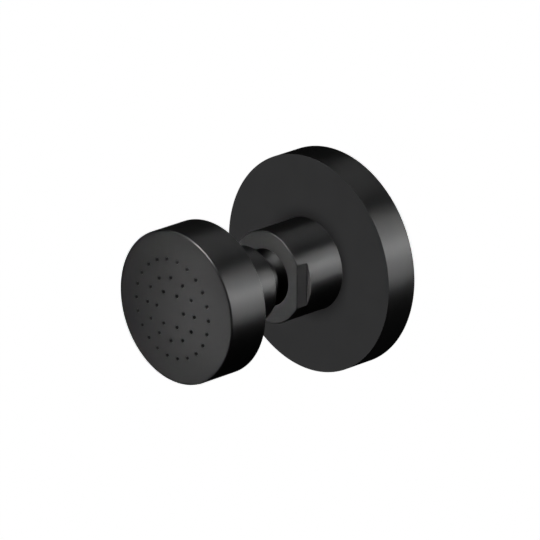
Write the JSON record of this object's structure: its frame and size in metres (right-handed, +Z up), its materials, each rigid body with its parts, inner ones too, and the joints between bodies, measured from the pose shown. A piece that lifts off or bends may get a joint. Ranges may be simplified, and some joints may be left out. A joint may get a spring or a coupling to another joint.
{
  "type": "shower body jet",
  "caption": "Wall-mounted shower body jet: round head with a drilled, slightly domed face on a ball joint in a stub with spanner flats, a deep round wall flange and a threaded inlet tail.",
  "frame": {"origin": "centre of the flange's back face, on the wall plane and on the axis of the inlet thread", "axes": "+Y into the wall along the inlet, the jet points along -Y, +Z up, +X to the right of someone facing the wall"},
  "size_m": [0.072, 0.0885, 0.072],
  "materials": {
    "black_coat": "satin",
    "bare_brass": "satin",
    "seal_rubber": "matte",
    "white_acetal": "satin",
    "grey_plastic": "satin",
    "strainer_steel": "satin"
  },
  "bodies": {
    "wall_side": {"wall_flange": "black_coat", "wall_gasket": "seal_rubber", "flange_o_ring": "seal_rubber", "socket_housing": "black_coat", "inlet_nipple": "bare_brass", "nipple_o_ring": "seal_rubber", "rear_seat": "white_acetal", "pressure_ring": "seal_rubber", "flow_regulator": "grey_plastic", "regulator_o_ring": "seal_rubber", "inlet_strainer": "strainer_steel", "strainer_clip": "strainer_steel"},
    "seat": {"front_seat": "white_acetal"},
    "ball": {"swivel_ball": "black_coat"},
    "head": {"head_shell": "black_coat", "back_cover": "black_coat", "cover_o_ring": "seal_rubber", "distributor_disc": "grey_plastic", "stem_washer": "seal_rubber", "stem_screen": "strainer_steel"}
  },
  "joints": [
    {"name": "direction", "type": "hinge", "parent": "wall_side", "child": "seat", "pos_m": [0, -0.025, 0], "axis": [0, -1, 0], "continuous": true},
    {"name": "tilt", "type": "hinge", "parent": "seat", "child": "ball", "pos_m": [0, -0.025, 0], "axis": [-1, 0, 0], "range_deg": [-15, 15]},
    {"name": "spin", "type": "hinge", "parent": "ball", "child": "head", "pos_m": [0, -0.025, 0], "axis": [0, -1, 0], "continuous": true}
  ]
}
